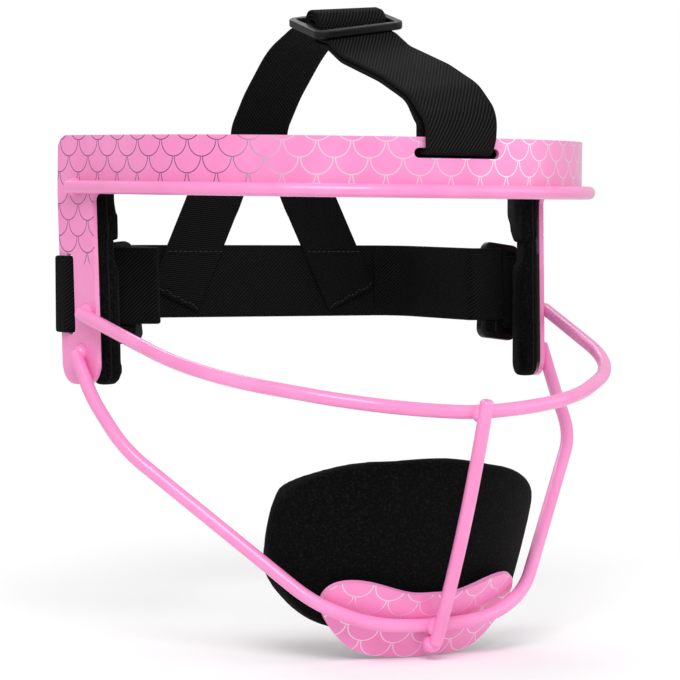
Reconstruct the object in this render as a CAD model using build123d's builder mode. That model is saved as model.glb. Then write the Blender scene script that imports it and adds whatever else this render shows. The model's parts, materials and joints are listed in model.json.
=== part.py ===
from build123d import *
import math
import os

# Softball face guard: a painted steel frame that stands off the face, with
# stick-on foam pads and an elastic harness. Millimetres. +Z is up, the guard
# faces -Y, and +X is the wearer's left. The origin is the middle of the head
# at the height of the band, between the two temple plates.

os.makedirs("parts", exist_ok=True)

# Frame: band, temple plates and wires
band_depth = 95.0            # origin to the band's outer face at the forehead
band_radius = 84.6           # outer face of the band's curved front
flare_angle = 78.6           # turn from the forehead to each straight side
band_height = 19.2
sheet = 1.6                  # steel sheet of the band, plates and chin plate
plate_front_run = 20.5       # from the end of the curve to the plate's front edge
plate_width = 20.0
plate_height = 82.0          # from the band's top to the plate's foot
plate_lean = 3.9             # degrees that a plate leans forward on its way down
plate_top_radius = 5.0
plate_foot_radius = 7.0
plate_inner_radius = 2.2
wire_diameter = 4.4
weld_gap = 0.2               # weld seam between two welded pieces
bead_radius = 3.1

# Slots in the frame for the webbing
crown_slot_width = 31.0
crown_slot_height = 3.2
crown_slot_lip = 3.4         # metal above the crown slot
temple_slot_height = 26.8
temple_slot_width = 4.4
temple_slot_setback = 12.0   # from the plate's front edge to the slot
temple_slot_middle = -42.9   # height of the slot's middle

# Cheek wire. A bend is a share of the way out to the wire's end, a share of the
# way forward from that end, and a height; its radius is a share of the half width
cheek_reach = 13.4           # forward of the band's outer face
cheek_middle_height = -76.3
cheek_bend_a_shares = (0.377, 1.0)
cheek_bend_a_height = -74.1
cheek_bend_b_shares = (0.872, 0.609)
cheek_bend_b_height = -65.4
cheek_radius_shares = (1.33, 0.69, 0.82)
cheek_end_height = -48.9
cheek_end_run = 23.3         # from the end of the band's curve, along the plate

# Jaw wire, given in the same way
jaw_setback = 12.9           # behind the band's outer face
jaw_middle_height = -146.7
jaw_bend_shares = ((0.239, 0.995), (0.431, 0.912), (0.941, 0.345), (0.984, 0.137))
jaw_bend_heights = (-145.5, -138.6, -91.6, -76.4)
jaw_radius_shares = (1.1, 0.46, 0.44, 0.44, 0.66)
jaw_end_height = -62.0
jaw_end_run = 26.0

# Nose bar, in the plane of symmetry
nose_top_height = -72.0
nose_top_angle = 15.0        # degrees from upright at the top
nose_foot_angle = 26.7       # degrees from upright at the foot
nose_foot_height = -152.4
nose_end_share = 0.45        # rounding of the bar's ends, of its radius

# Chin plate: a strip of sheet rolled round an axis that leans forward
chin_plate_lean = 26.57      # degrees from upright
chin_plate_radius = 69.3     # rolled radius of the outer face
chin_plate_half = 35.2       # half width
chin_ear_half = 25.6         # to the top of each raised ear
chin_top_rise = 11.5         # from the jaw wire up to the top edge's middle
chin_ear_rise = 14.2         # from the jaw wire up to the top of an ear
chin_side_rise = 6.0         # from the jaw wire up to the widest point
chin_drop = 12.2             # from the jaw wire down to the bottom edge
chin_corner_half = 26.5      # where the bottom edge turns up
chin_corner_drop = 8.6
chin_ear_fall = 3.0          # from an ear's top to its outer corner
chin_side_fall = 2.2         # below the jaw wire, where the side turns in
chin_dip_share = 0.2         # places along the half width
chin_ear_end_share = 0.93
chin_side_share = 0.93

# Pads: fabric over foam, held by hook strips
hook_thickness = 0.8
pad_gap = 0.3                # between a pad and what it rests against
hook_strip_height = 12.0
hook_start_angle = 12.0      # from the forehead's middle, clear of the crown strap
hook_sweep_angle = 60.0
temple_hook_setback = 4.6    # from the plate's front edge to the strip's middle
temple_hook_width = 8.0
temple_hook_share = 0.8      # of the temple pad's length
chin_hook_height = 13.0
forehead_pad_height = 17.6
forehead_pad_thickness = 6.0
forehead_pad_crown = 1.8     # how far its face swells
pad_overhang = 1.5           # past the plate's front edge
lobe_width = 16.6            # the tongue at the forehead pad's end, at its top
lobe_foot_width = 10.4
lobe_thickness = 6.2
lobe_foot_height = -24.4
lobe_shoulder_height = -16.6 # where the tongue starts to taper
lobe_round = 2.8
temple_pad_width = 10.4      # at its foot
temple_waist_width = 9.0     # where the cushion starts
temple_waist_height = -33.0
temple_base_thickness = 5.0  # the thin upper end
temple_pad_thickness = 7.0   # the cushion
temple_pad_foot = -72.4
temple_pad_round = 1.6
temple_foot_round = 4.6      # corners of a temple pad, seen from the side
pad_round = 2.4
pad_notch_width = 27.0       # room for the crown strap behind the forehead pad

# Chin pad: a cup, as the plan of its outer face and its front outline
chin_pad_thickness = 9.0
chin_pad_lean = 17.2
chin_pad_front_radius = 66.0
chin_pad_front_turn = 33.0   # degrees of the gentle front curve, one side
chin_pad_side_radius = 30.0
chin_pad_side_turn = 22.0
chin_pad_side_run = 9.0
chin_pad_half = 47.6
chin_pad_top = -92.4
chin_pad_bottom = -151.0
chin_pad_round = 2.6
# The chin pad's front outline, as shares of its half width and its height
chin_pad_outline_shares = (
    (0, 0), (0.32, 0.02), (0.60, 0.055), (0.81, 0.125), (0.955, 0.24), (1.0, 0.375),
    (0.99, 0.52), (0.93, 0.71), (0.86, 0.81), (0.64, 0.955), (0.40, 0.99), (0, 1),
)

# Webbing harness
strap_width = 25.4
strap_thickness = 1.5
strap_clear = 0.25           # between webbing and a part that it passes
leg_width = 20.4
leg_angle = 24.9             # degrees that each leg of the V leans from upright
crown_rear_width = 22.5
back_strap_depth = 41.1      # origin back to the strap's middle
back_strap_height = -40.0    # height of the strap's centreline at the back
back_corner_half = 55.0      # from the middle to the strap's turn beside the head
back_corner_radius = 11.0
back_seam_gap = 0.0081       # from that turn's start to the seam with the straight part
side_run_length = 28.0       # from a plate's slot in to the strap's bend
side_run_drop = 7.5          # how far forward of the slot that bend is
side_corner_radius = 4.0
leg_foot_half = 35.2
leg_foot_height = -46.3
leg_knee_height = -10.7
leg_join_height = 8.0
leg_crotch_height = 2.0
crown_slope = 14.0           # degrees that the strap rises from the forehead
crown_front_radii = (15.0, 40.0)
crown_front_height = 17.0    # of the strap's first bend, over the band
crown_front_reach = 16.0     # from that bend back to the next
crown_corner_height = 24.7   # of the straight rise's line, over the band
crown_fold_radius = 1.7
crown_end_depth = -14.0      # where the front strap becomes the rear one
crown_top_depth = -3.5       # where the strap turns down at the back
crown_rear_bends = ((17.0, 39.9), (34.2, 25.4))
crown_foot_height = 13.5     # the strap's last bend, above the legs' top
crown_bend_radii = (14.0, 40.0, 50.0, 9.0)

# Tri-glides: moulded frames with a centre bar
glide_thickness = 2.6
glide_rim = 2.6
glide_bar = 3.6
glide_round = 3.4
crown_glide_width = 33.0
crown_glide_length = 24.0
crown_glide_middle = -19.0   # along Y
crown_glide_roll = 8.5       # degrees that its left end is raised
side_glide_width = 34.0
side_glide_length = 18.0
side_glide_setback = 4.0     # from the slot in to the glide
side_glide_drop = 2.7        # below the strap's centreline
side_glide_tilt = 5.5        # degrees that its upper end leans outward
window_round_share = 0.3     # of the rim
roll_share = 0.64            # how round the webbing folds over the bar
loop_bend_share = 0.7        # bends of the loop round a plate, of the webbing's thickness
loop_tail = 1.6              # of that loop's end, forward of the plate's rear edge
overrun = 2.0                # how far a cut runs past what it cuts

# Worked out from the sizes above
half_height = band_height / 2
wire_radius = wire_diameter / 2
inner_radius = band_radius - sheet
arc_middle = band_radius - band_depth
wire_stand = wire_radius + weld_gap
flare = math.radians(flare_angle)
side_start = (band_radius * math.sin(flare), arc_middle - band_radius * math.cos(flare))
along = Vector(math.cos(flare), math.sin(flare), 0)
outward = Vector(math.sin(flare), -math.cos(flare), 0)


def side_point(run, out, height):
    """A point beside the straight right side: along it, out from it, and up."""
    start = Vector(side_start[0], side_start[1], height)
    return start + along * run + outward * out


def mirrored(points):
    """The same points on the wearer's other side, in reverse order."""
    return [(-point[0], point[1], point[2]) for point in reversed(points)]


side_face = Plane(origin=side_point(0, 0, 0), x_dir=along, z_dir=outward)
lean_shift = math.tan(math.radians(plate_lean))
plate_rear_run = plate_front_run + plate_width
plate_foot = half_height - plate_height


def leaned(run, height):
    """A place on the plate's face, moved forward with the plate's lean."""
    return (run + (height + half_height) * lean_shift, height)


# Forehead band: one strip of sheet steel, bent to the forehead, whose ends are
# wider plates that hang at the temples
with BuildPart() as forehead_band:
    with BuildSketch(Plane.XY.offset(-half_height)):
        with BuildLine():
            CenterArc((0, arc_middle), band_radius, -90 - flare_angle, 2 * flare_angle)
            CenterArc((0, arc_middle), inner_radius, -90 - flare_angle, 2 * flare_angle)
            for side in (-1, 1):
                turn = math.radians(-90 + side * flare_angle)
                Line(
                    (band_radius * math.cos(turn), arc_middle + band_radius * math.sin(turn)),
                    (inner_radius * math.cos(turn), arc_middle + inner_radius * math.sin(turn)),
                )
        make_face()
    extrude(amount=band_height)
    with BuildSketch(side_face):
        with BuildLine():
            Polyline(
                (0, -half_height),
                (plate_front_run, -half_height),
                leaned(plate_front_run, plate_foot),
                leaned(plate_rear_run, plate_foot),
                (plate_rear_run, -half_height),
                (plate_rear_run, half_height),
                (0, half_height),
                close=True,
            )
        make_face()
        corners = vertices().sort_by(Axis.Y)
        fillet(corners[0:2], plate_foot_radius)
        fillet(vertices().group_by(Axis.Y)[-1].sort_by(Axis.X)[-1:], plate_top_radius)
        inner_corner = [
            corner for corner in vertices()
            if abs(corner.Y + half_height) < sheet and abs(corner.X - plate_front_run) < sheet
        ]
        fillet(inner_corner, plate_inner_radius)
    extrude(amount=-sheet)
    slot_run = temple_slot_setback + temple_slot_width / 2
    slot_at = leaned(plate_front_run + slot_run, temple_slot_middle)
    with BuildSketch(side_face.offset(overrun)):
        with Locations(slot_at):
            SlotOverall(temple_slot_height, temple_slot_width, rotation=90 - plate_lean)
    extrude(amount=-sheet - 2 * overrun, mode=Mode.SUBTRACT)
    split(bisect_by=Plane.YZ, keep=Keep.TOP)
    mirror(about=Plane.YZ)
    crown_slot_middle = half_height - crown_slot_lip - crown_slot_height / 2
    with BuildSketch(Plane.XZ.offset(band_depth - sheet - overrun)):
        with Locations((0, crown_slot_middle)):
            SlotOverall(crown_slot_width, crown_slot_height)
    extrude(amount=sheet + 2 * overrun, mode=Mode.SUBTRACT)
forehead_band.part.label = "forehead_band"


# Brow wire: follows the band's outer face along its lower edge
brow_height = wire_radius - half_height
brow_end_run = plate_front_run + plate_width / 2
brow_radius = band_radius + wire_stand
with BuildPart() as brow_wire:
    with BuildLine() as brow_path:
        right_end = side_point(brow_end_run, wire_stand, brow_height)
        right_turn = side_point(0, wire_stand, brow_height)
        front = Vector(0, -band_depth - wire_stand, brow_height)
        left_turn = Vector(-right_turn.X, right_turn.Y, brow_height)
        Line((-right_end.X, right_end.Y, brow_height), left_turn)
        ThreePointArc(left_turn, front, right_turn)
        Line(right_turn, right_end)
    with BuildSketch(Plane(origin=brow_path.wires()[0] @ 0, z_dir=brow_path.wires()[0] % 0)):
        Circle(wire_radius)
    sweep(path=brow_path.wires()[0])
brow_wire.part.label = "brow_wire"


def bent_wire(bends, radii):
    """The centreline of a wire with straight runs and round bends."""
    with BuildLine() as path:
        FilletPolyline(*bends, radius=radii)
    return path.wires()[0]


def wire_bend(end, front, shares, height):
    """A bend, from its shares of the way out to a wire's end and forward from it."""
    across, forward = shares
    return (end.X * across, end.Y - (front + end.Y) * forward, height)


# Cheek wire: one rod bent round the front of the face under the eyes, its ends
# welded to the plates
cheek_front = band_depth + cheek_reach
cheek_end = side_point(cheek_end_run, wire_stand, cheek_end_height)
cheek_half = [
    wire_bend(cheek_end, cheek_front, cheek_bend_a_shares, cheek_bend_a_height),
    wire_bend(cheek_end, cheek_front, cheek_bend_b_shares, cheek_bend_b_height),
    tuple(cheek_end),
]
cheek_bends = mirrored(cheek_half) + [(0, -cheek_front, cheek_middle_height)] + cheek_half
cheek_half_radii = [cheek_end.X * share for share in cheek_radius_shares]
cheek_radii = cheek_half_radii[:0:-1] + cheek_half_radii
cheek_line = bent_wire(cheek_bends, cheek_radii)
with BuildPart() as cheek_wire:
    with BuildSketch(Plane(origin=cheek_line @ 0, z_dir=cheek_line % 0)):
        Circle(wire_radius)
    sweep(path=cheek_line)
cheek_wire.part.label = "cheek_wire"

# Jaw wire: drops from the plates' feet and crosses under the chin
jaw_front = band_depth - jaw_setback
jaw_end = side_point(jaw_end_run, wire_stand, jaw_end_height)
jaw_half = [
    wire_bend(jaw_end, jaw_front, shares, height)
    for shares, height in zip(jaw_bend_shares, jaw_bend_heights)
] + [tuple(jaw_end)]
jaw_bends = mirrored(jaw_half) + [(0, -jaw_front, jaw_middle_height)] + jaw_half
jaw_half_radii = [jaw_end.X * share for share in jaw_radius_shares]
jaw_radii = jaw_half_radii[:0:-1] + jaw_half_radii
jaw_line = bent_wire(jaw_bends, jaw_radii)
with BuildPart() as jaw_wire:
    with BuildSketch(Plane(origin=jaw_line @ 0, z_dir=jaw_line % 0)):
        Circle(wire_radius)
    sweep(path=jaw_line)
jaw_wire.part.label = "jaw_wire"


# Nose bar: a rod in front of both wires, its foot welded to the chin plate
rod_step = wire_diameter + weld_gap
top_turn = math.radians(nose_top_angle)
foot_turn = math.radians(nose_foot_angle)
nose_above = nose_top_height - cheek_middle_height
nose_below = jaw_middle_height - nose_foot_height
nose_top_depth = cheek_front + rod_step / math.cos(top_turn) + nose_above * math.tan(top_turn)
nose_foot_depth = jaw_front + rod_step / math.cos(foot_turn) - nose_below * math.tan(foot_turn)
nose_top = (0, -nose_top_depth, nose_top_height)
nose_foot = (0, -nose_foot_depth, nose_foot_height)
with BuildPart() as nose_bar:
    with BuildLine() as nose_path:
        TangentArc(nose_top, nose_foot, tangent=(0, math.sin(top_turn), -math.cos(top_turn)))
    nose_line = nose_path.wires()[0]
    with BuildSketch(Plane(origin=nose_line @ 0, z_dir=nose_line % 0)):
        Circle(wire_radius)
    sweep(path=nose_line)
    fillet(nose_bar.edges().filter_by(GeomType.CIRCLE), wire_radius * nose_end_share)
nose_bar.part.label = "nose_bar"


# Chin plate: a strip of sheet rolled to the chin, with a raised ear at each
# end, behind the jaw wire
chin_lean = math.radians(chin_plate_lean)
chin_up = Vector(0, -math.sin(chin_lean), math.cos(chin_lean))
chin_out = Vector(0, -math.cos(chin_lean), -math.sin(chin_lean))
chin_plate_front = jaw_front - wire_stand / math.cos(chin_lean)
chin_front = Vector(0, -chin_plate_front, jaw_middle_height)
chin_face = Plane(origin=chin_front, x_dir=(1, 0, 0), z_dir=chin_out)
chin_axis = Plane(
    origin=chin_front - chin_out * chin_plate_radius, x_dir=(1, 0, 0), z_dir=chin_up
)


def chin_outline():
    """Half the chin plate's front outline, from the top's middle to the bottom's."""
    return [
        (0, chin_top_rise),
        (chin_plate_half * chin_dip_share, chin_top_rise),
        (chin_ear_half, chin_ear_rise),
        (chin_plate_half * chin_ear_end_share, chin_ear_rise - chin_ear_fall),
        (chin_plate_half, chin_side_rise),
        (chin_plate_half * chin_side_share, -chin_side_fall),
        (chin_corner_half, -chin_corner_drop),
        (0, -chin_drop),
    ]


with BuildPart() as chin_plate:
    with BuildSketch(chin_face.offset(overrun)):
        with BuildLine():
            Spline(*chin_outline(), tangents=[(1, 0), (-1, 0)])
            mirror(about=Plane.YZ)
        make_face()
    extrude(amount=-chin_plate_radius)
    with BuildSketch(chin_axis):
        Circle(chin_plate_radius)
        Circle(chin_plate_radius - sheet, mode=Mode.SUBTRACT)
    extrude(amount=chin_plate_radius, both=True, mode=Mode.INTERSECT)
chin_plate.part.label = "chin_plate"


# Weld beads: metal run in where each wire meets a plate or another wire
with BuildPart() as plate_beads:
    for run, height in (
        (brow_end_run, brow_height),
        (cheek_end_run, cheek_end_height),
        (jaw_end_run, jaw_end_height),
    ):
        with Locations(side_point(run, 0, height)):
            Sphere(bead_radius)
    split(bisect_by=side_face, keep=Keep.TOP)
    for wire in (brow_wire, cheek_wire, jaw_wire):
        add(wire.part, mode=Mode.SUBTRACT)
    mirror(about=Plane.YZ)
with BuildPart() as weld_beads:
    with Locations(
        (0, -cheek_front - rod_step / 2, cheek_middle_height),
        (0, -jaw_front - rod_step / 2, jaw_middle_height),
        (0, -nose_foot_depth + wire_radius, nose_foot_height),
    ):
        Sphere(bead_radius)
    for metal in (cheek_wire, jaw_wire, nose_bar, chin_plate):
        add(metal.part, mode=Mode.SUBTRACT)
    add(plate_beads.part)
weld_beads.part.label = "weld_beads"


# Hook strips: thin woven tape stuck to the steel, which the pads press onto
hook_radius = inner_radius - hook_thickness
with BuildPart() as forehead_hook_strip:
    with BuildSketch(Plane.XY.offset(-hook_strip_height / 2)):
        with BuildLine():
            for edge in (inner_radius, hook_radius):
                CenterArc((0, arc_middle), edge, -90 + hook_start_angle, hook_sweep_angle)
            for angle in (hook_start_angle, hook_start_angle + hook_sweep_angle):
                turn = math.radians(-90 + angle)
                Line(
                    (inner_radius * math.cos(turn), arc_middle + inner_radius * math.sin(turn)),
                    (hook_radius * math.cos(turn), arc_middle + hook_radius * math.sin(turn)),
                )
        make_face()
    extrude(amount=hook_strip_height)
    mirror(about=Plane.YZ)
forehead_hook_strip.part.label = "forehead_hook_strip"

pad_start = plate_front_run - pad_overhang
temple_top = lobe_foot_height - pad_gap
temple_length = temple_top - temple_pad_foot
temple_middle = (temple_top + temple_pad_foot) / 2
hook_at = leaned(plate_front_run + temple_hook_setback, temple_middle)
with BuildPart() as temple_hook_strip:
    with BuildSketch(side_face.offset(-sheet)):
        with Locations(hook_at):
            Rectangle(temple_hook_width, temple_length * temple_hook_share, rotation=-plate_lean)
    extrude(amount=-hook_thickness)

with BuildPart() as chin_hook_strip:
    with BuildSketch(chin_face.offset(overrun)):
        Rectangle(chin_ear_half * 2, chin_hook_height)
    extrude(amount=-chin_plate_radius)
    with BuildSketch(chin_axis):
        Circle(chin_plate_radius - sheet)
        Circle(chin_plate_radius - sheet - hook_thickness, mode=Mode.SUBTRACT)
    extrude(amount=chin_plate_radius, both=True, mode=Mode.INTERSECT)
chin_hook_strip.part.label = "chin_hook_strip"


# Forehead pad: one long cushion round the inside of the band, with a thicker
# tongue down each temple
pad_back = hook_radius - pad_gap
pad_face = pad_back - forehead_pad_thickness + forehead_pad_crown
pad_half = forehead_pad_height / 2
band_axis = Axis((0, arc_middle, 0), (0, 0, 1))
lobe_out = -sheet - hook_thickness - pad_gap
with BuildPart() as forehead_pad:
    with BuildSketch(Plane(origin=(0, arc_middle, 0), x_dir=(0, -1, 0), z_dir=(-1, 0, 0))):
        with BuildLine():
            Polyline(
                (pad_face, -pad_half), (pad_back, -pad_half), (pad_back, pad_half), (pad_face, pad_half)
            )
            ThreePointArc(
                (pad_face, pad_half), (pad_face - forehead_pad_crown, 0), (pad_face, -pad_half)
            )
        make_face()
        fillet(vertices().sort_by(Axis.X)[:2], pad_round)
    revolve(axis=band_axis, revolution_arc=flare_angle)
    extrude(forehead_pad.faces().sort_by(Axis.Y)[-1], amount=pad_start + pad_round)
    with BuildSketch(side_face.offset(lobe_out)):
        with BuildLine():
            Polyline(
                (pad_start, pad_half),
                (pad_start, -half_height),
                leaned(pad_start, lobe_foot_height),
                leaned(pad_start + lobe_foot_width, lobe_foot_height),
                leaned(pad_start + lobe_width, lobe_shoulder_height),
                (pad_start + lobe_width, pad_half),
                close=True,
            )
        make_face()
        fillet(vertices().sort_by(Axis.X)[-2:], lobe_round)
    extrude(amount=-lobe_thickness)
    mirror(about=Plane.YZ)
    with BuildSketch(Plane.XZ.offset(-arc_middle + pad_back - forehead_pad_thickness / 2)):
        with Locations((0, crown_slot_middle - crown_slot_height)):
            Rectangle(pad_notch_width, band_height, align=(Align.CENTER, Align.MIN))
    extrude(amount=forehead_pad_thickness, mode=Mode.SUBTRACT)
forehead_pad.part.label = "forehead_pad"


# Temple pads: a strip of the same foam below each tongue, with a raised cushion
# on the lower half of the plate
temple_foot = [(0, temple_pad_foot), (temple_pad_width, temple_pad_foot)]
temple_waist = [(temple_waist_width, temple_waist_height), (0, temple_waist_height)]
temple_end = [temple_waist[0], (lobe_foot_width, temple_top), (0, temple_top)]
with BuildPart() as temple_pad:
    for outline, thickness in (
        (temple_foot + temple_end, temple_base_thickness),
        (temple_foot + temple_waist, temple_pad_thickness),
    ):
        with BuildSketch(side_face.offset(lobe_out)):
            with BuildLine():
                Polyline(*[leaned(pad_start + run, height) for run, height in outline], close=True)
            make_face()
            fillet(vertices().sort_by(Axis.Y)[:2], temple_foot_round)
        extrude(amount=-thickness)
    fillet(temple_pad.faces().sort_by(Axis.X)[0].edges(), temple_pad_round)


# Chin pad: a cup of fabric-covered foam behind the chin plate
chin_pad_lean_turn = math.radians(chin_pad_lean)
chin_back = sheet + hook_thickness + pad_gap
chin_pad_drop = jaw_middle_height - chin_pad_bottom
chin_pad_closing = chin_pad_drop * (math.tan(chin_lean) - math.tan(chin_pad_lean_turn))
chin_pad_front = chin_plate_front - chin_back / math.cos(chin_lean) - chin_pad_closing - pad_gap
chin_pad_base = chin_pad_bottom - overrun
chin_pad_base_depth = chin_pad_front - (jaw_middle_height - chin_pad_base) * math.tan(chin_pad_lean_turn)
chin_pad_height = chin_pad_top - chin_pad_bottom
front_middle_radius = chin_pad_front_radius - chin_pad_thickness / 2
side_middle_radius = chin_pad_side_radius - chin_pad_thickness / 2
with BuildPart() as chin_pad:
    with BuildSketch(Plane.XY.offset(chin_pad_base)):
        with BuildLine() as chin_curve:
            front_centre = (0, -chin_pad_base_depth + chin_pad_front_radius)
            gentle = CenterArc(front_centre, front_middle_radius, -90, chin_pad_front_turn)
            turned = JernArc(gentle @ 1, gentle % 1, side_middle_radius, chin_pad_side_turn)
            Line(turned @ 1, turned @ 1 + (turned % 1) * chin_pad_side_run)
            mirror(about=Plane.YZ)
        trace(line_width=chin_pad_thickness)
    slant = (0, -math.sin(chin_pad_lean_turn), math.cos(chin_pad_lean_turn))
    extrude(amount=(chin_pad_height + 2 * overrun) / slant[2], dir=slant)
    with BuildSketch(Plane.XZ):
        with BuildLine():
            pad_corners = [
                (across * chin_pad_half, chin_pad_top - down * chin_pad_height)
                for across, down in chin_pad_outline_shares
            ]
            Spline(*pad_corners, tangents=[(1, 0), (-1, 0)])
            mirror(about=Plane.YZ)
        make_face()
    extrude(amount=chin_pad_base_depth + chin_pad_height, both=True, mode=Mode.INTERSECT)
    fillet(chin_pad.edges(), chin_pad_round)
chin_pad.part.label = "chin_pad"


# Webbing: each run is the plan or side view of its path, as thick as the
# webbing and as wide as the strap
lean_way = (0, lean_shift, 1)


def plan_strap(label, width, height, bends, radii):
    """Webbing on edge: a path seen from above, its width leaning with the plates."""
    with BuildPart() as strap:
        with BuildSketch(Plane.XY.offset(height)):
            with BuildLine():
                if radii:
                    FilletPolyline(*bends, radius=radii)
                else:
                    Polyline(*bends)
            trace(line_width=strap_thickness)
        extrude(amount=width / 2 / math.cos(math.radians(plate_lean)), dir=lean_way, both=True)
    strap.part.label = label
    return strap.part


strap_step = strap_thickness + strap_clear
strap_pass = strap_thickness / 2 + strap_clear
slot_lean = (temple_slot_middle + half_height) * lean_shift
slot_place = plate_front_run + temple_slot_setback + temple_slot_width / 2 + slot_lean
rear_place = plate_rear_run + slot_lean
slot_centre = side_point(slot_place, -sheet / 2, 0)
side_corner = (slot_centre.X - side_run_length, slot_centre.Y - side_run_drop)
side_run_way = Vector(side_run_length, side_run_drop).normalized()
side_run_slope = side_run_way.Y / side_run_way.X
back_turn = Vector(1, 0).get_angle(
    Vector(side_corner[0] - back_corner_half, side_corner[1] - back_strap_depth)
)
back_turn_run = back_corner_radius * math.tan(math.radians(back_turn / 2))
back_straight_half = back_corner_half - back_turn_run - back_seam_gap


def on_side_run(x, back=0):
    """A point on the strap between the slot and its first bend, x from the middle."""
    return (x, side_corner[1] + (x - side_corner[0]) * side_run_slope + back)


side_glide_middle = slot_centre.X - side_glide_setback - side_glide_length / 2
back_strap_middle = plan_strap(
    "back_strap_middle", strap_width, back_strap_height,
    [(-back_straight_half, back_strap_depth), (back_straight_half, back_strap_depth)], [],
)
back_strap_side = plan_strap(
    "back_strap_side", strap_width, back_strap_height,
    [
        (back_straight_half, back_strap_depth),
        (back_corner_half, back_strap_depth),
        side_corner,
        on_side_run(side_glide_middle),
    ],
    [back_corner_radius, side_corner_radius],
)
loop_stand = strap_pass
slot_crossing = (sheet / 2 + loop_stand) / side_run_way.dot(outward)
loop_start = slot_centre + side_run_way * slot_crossing
loop_bends = [
    loop_start,
    side_point(rear_place + loop_stand, loop_stand, 0),
    side_point(rear_place + loop_stand, -sheet - loop_stand, 0),
    side_point(rear_place - loop_tail, -sheet - loop_stand, 0),
]
anchor_loop = plan_strap(
    "anchor_loop", strap_width, temple_slot_middle,
    [on_side_run(side_glide_middle)] + [(bend.X, bend.Y) for bend in loop_bends],
    strap_thickness * loop_bend_share,
)


# Legs of the V: webbing sewn to the back strap, which meets at the back of the
# head in the crown strap
leg_turn = math.radians(leg_angle)
leg_along = Vector(-math.sin(leg_turn), math.cos(leg_turn))
leg_across = Vector(math.cos(leg_turn), math.sin(leg_turn)) * (leg_width / 2)
leg_foot = Vector(leg_foot_half, leg_foot_height)
leg_knee = leg_foot + leg_along * ((leg_knee_height - leg_foot_height) / math.cos(leg_turn))
leg_lap = strap_thickness / math.cos(math.radians(plate_lean))


def leg_depth(height):
    """How far back the legs' middle line is, in front of the leaning back strap."""
    return back_strap_depth - leg_lap + (height - back_strap_height) * lean_shift


leg_low = leg_foot_height - leg_width
with BuildPart() as v_leg:
    with BuildSketch(Plane.YZ):
        with BuildLine():
            Line((leg_depth(leg_low), leg_low), (leg_depth(leg_join_height), leg_join_height))
        trace(line_width=strap_thickness)
    extrude(amount=leg_foot_half + leg_width)
    with BuildSketch(Plane.XZ.offset(-back_strap_depth - leg_width)):
        Polygon(
            (0, leg_join_height),
            (crown_rear_width / 2, leg_join_height),
            tuple(leg_knee + leg_across)[:2],
            tuple(leg_foot + leg_across)[:2],
            tuple(leg_foot - leg_across)[:2],
            tuple(leg_knee - leg_across)[:2],
            (0, leg_crotch_height),
            align=None,
        )
    extrude(amount=2 * leg_width, mode=Mode.INTERSECT)


# Crown strap: the front half is doubled through the slot in the band, the rear
# half runs back and down to the legs of the V
crown_turn = math.radians(crown_slope)


def crown_line(depth, below=0):
    """A point on the crown strap's straight rise, from its middle line down."""
    rise = (depth + band_depth) * math.tan(crown_turn)
    return (depth, crown_corner_height + rise - below / math.cos(crown_turn))


def side_strap(label, width, bends, radii):
    """Webbing across the head: a path seen from the side."""
    with BuildPart() as strap:
        with BuildSketch(Plane.YZ.offset(-width / 2)):
            with BuildLine():
                FilletPolyline(*bends, radius=radii)
            trace(line_width=strap_thickness)
        extrude(amount=width)
    strap.part.label = label
    return strap.part


band_sag = band_radius - math.sqrt(band_radius ** 2 - (strap_width / 2) ** 2)
outer_depth = -band_depth - strap_pass
inner_depth = -band_depth + sheet + band_sag + strap_pass
crown_shoulder = crown_line(outer_depth + crown_front_reach)
front_rise = math.atan2(crown_shoulder[1] - crown_front_height, crown_front_reach)
inner_front_height = (
    crown_front_height + (inner_depth - outer_depth) * math.tan(front_rise)
    - strap_step / math.cos(front_rise)
)
crown_strap_front = side_strap(
    "crown_strap_front", strap_width,
    [
        crown_line(crown_glide_middle, strap_step),
        crown_line(crown_shoulder[0] + strap_step / 2, strap_step),
        (inner_depth, inner_front_height),
        (inner_depth, crown_slot_middle),
        (outer_depth, crown_slot_middle),
        (outer_depth, crown_front_height),
        crown_shoulder,
        crown_line(crown_end_depth),
    ],
    [
        crown_front_radii[1], crown_front_radii[0] - strap_step, crown_fold_radius,
        crown_fold_radius, *crown_front_radii,
    ],
)
crown_strap_rear = side_strap(
    "crown_strap_rear", crown_rear_width,
    [
        crown_line(crown_end_depth),
        crown_line(crown_top_depth),
        *crown_rear_bends,
        (leg_depth(crown_foot_height), crown_foot_height),
        (leg_depth(leg_join_height), leg_join_height),
    ],
    list(crown_bend_radii),
)


# Tri-glides: a moulded frame with a centre bar, and the webbing rolled over
# that bar; each slides along its strap
def tri_glide(label, seat, width, length):
    """A tri-glide on a seat plane whose x runs across the strap and y along it."""
    with BuildPart() as glide:
        with BuildSketch(seat):
            RectangleRounded(width, length, glide_round)
            window = (length - 2 * glide_rim - glide_bar) / 2
            with Locations((0, (glide_bar + window) / 2), (0, -(glide_bar + window) / 2)):
                RectangleRounded(
                    width - 2 * glide_rim, window, glide_rim * window_round_share, mode=Mode.SUBTRACT
                )
        extrude(amount=glide_thickness)
    glide.part.label = label
    return glide.part


def webbing_roll(label, seat, width):
    """The doubled webbing that is rolled over a tri-glide's centre bar."""
    doubled = 2 * strap_thickness
    section = Plane(origin=seat.origin - seat.x_dir * (width / 2), x_dir=seat.y_dir, z_dir=seat.x_dir)
    half = glide_bar / 2 + strap_clear + doubled / 2
    top = glide_thickness + strap_clear + doubled / 2
    with BuildPart() as roll:
        with BuildSketch(section):
            with BuildLine():
                FilletPolyline((-half, 0), (-half, top), (half, top), (half, 0), radius=half * roll_share)
            trace(line_width=doubled)
        extrude(amount=width)
    roll.part.label = label
    return roll.part


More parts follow.
